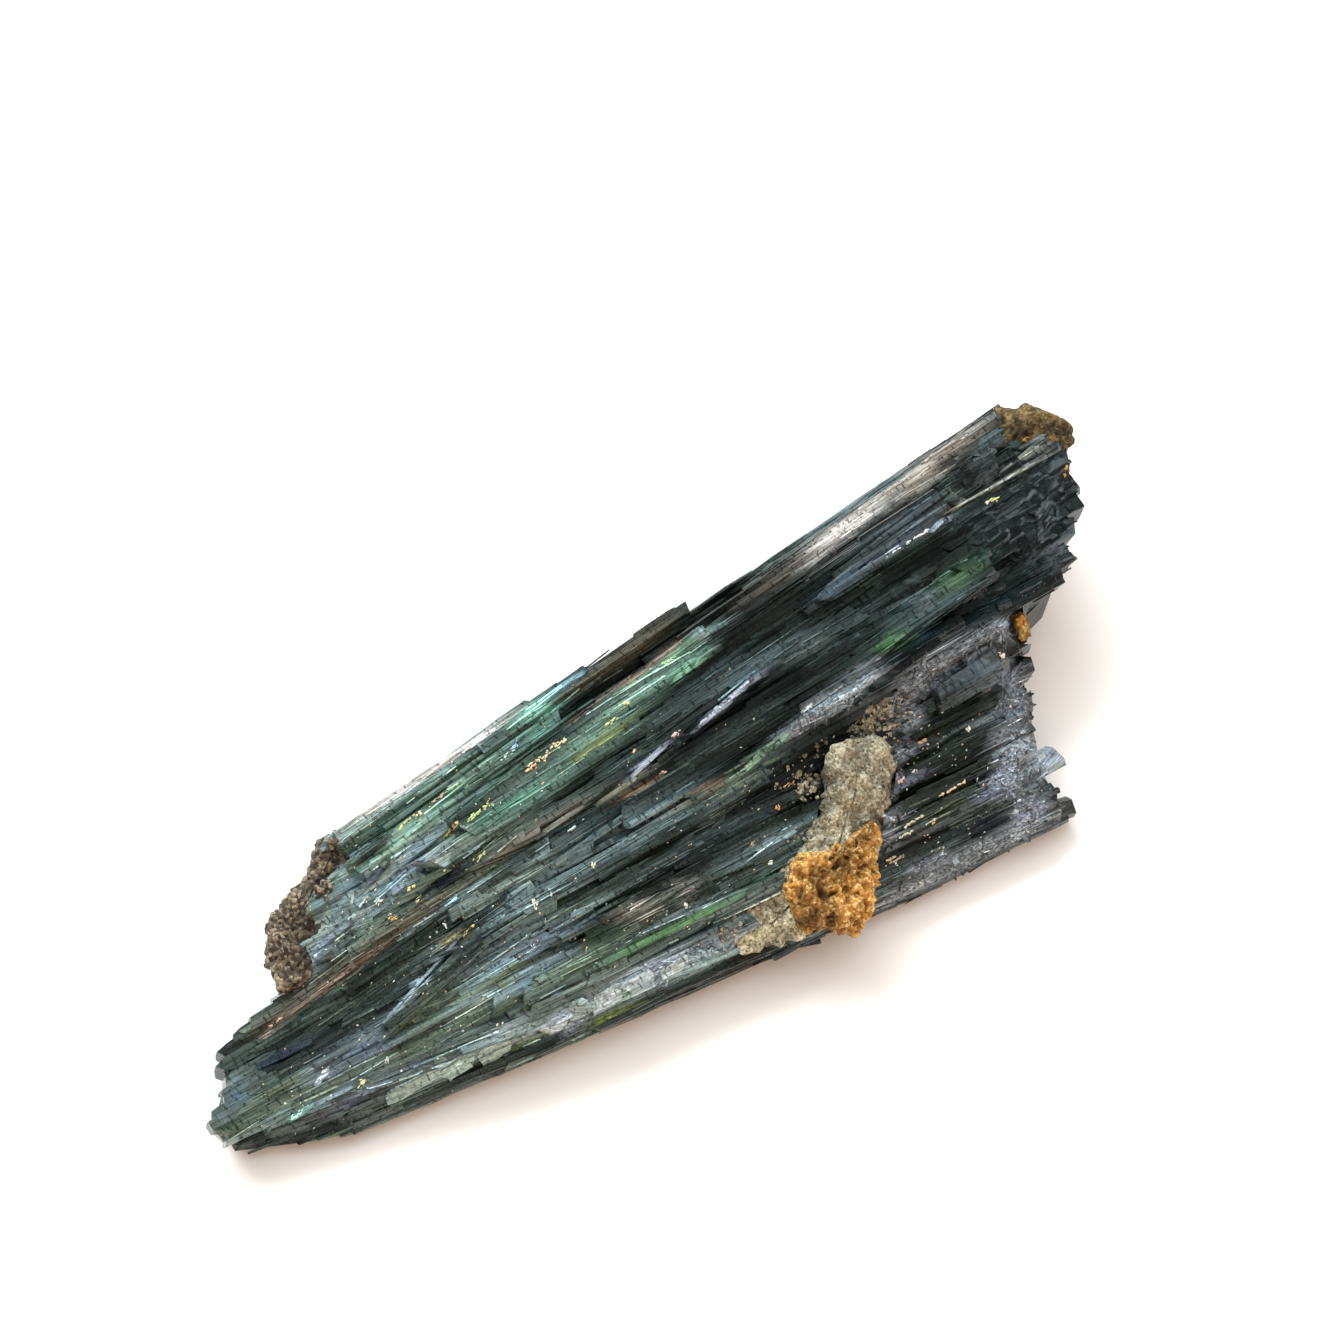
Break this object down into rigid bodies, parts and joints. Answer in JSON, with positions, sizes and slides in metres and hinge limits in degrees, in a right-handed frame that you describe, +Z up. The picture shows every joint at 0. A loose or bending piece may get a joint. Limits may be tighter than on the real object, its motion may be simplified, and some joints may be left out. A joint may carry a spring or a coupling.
{
  "type": "vivianite crystal shard",
  "caption": "Dark green-blue vivianite shard: a fan of intergrown bladed crystals with a broad striated side and clinging sandy and rusty matrix. Lies on its underside.",
  "frame": {"origin": "middle of the shard's bounding box, on the surface that it lies on", "axes": "+X along the shard from the narrow end to the wide end, +Y across it towards the thick back edge, +Z up"},
  "size_m": [0.0588, 0.02, 0.0106],
  "materials": {
    "vivianite": "vitreous cleavage faces, black-green to blue-green, pale lilac-grey where crushed",
    "sandy_matrix": "fine sandy, dull",
    "limonite": "porous rusty crust, dull",
    "clay": "dry tan clay, dull"
  },
  "bodies": {
    "root": {"vivianite_crystals": "vivianite", "sandy_matrix": "sandy_matrix", "limonite_crust": "limonite", "limonite_cap": "limonite", "ochre_grain": "limonite", "clay_rim": "clay"}
  },
  "joints": []
}
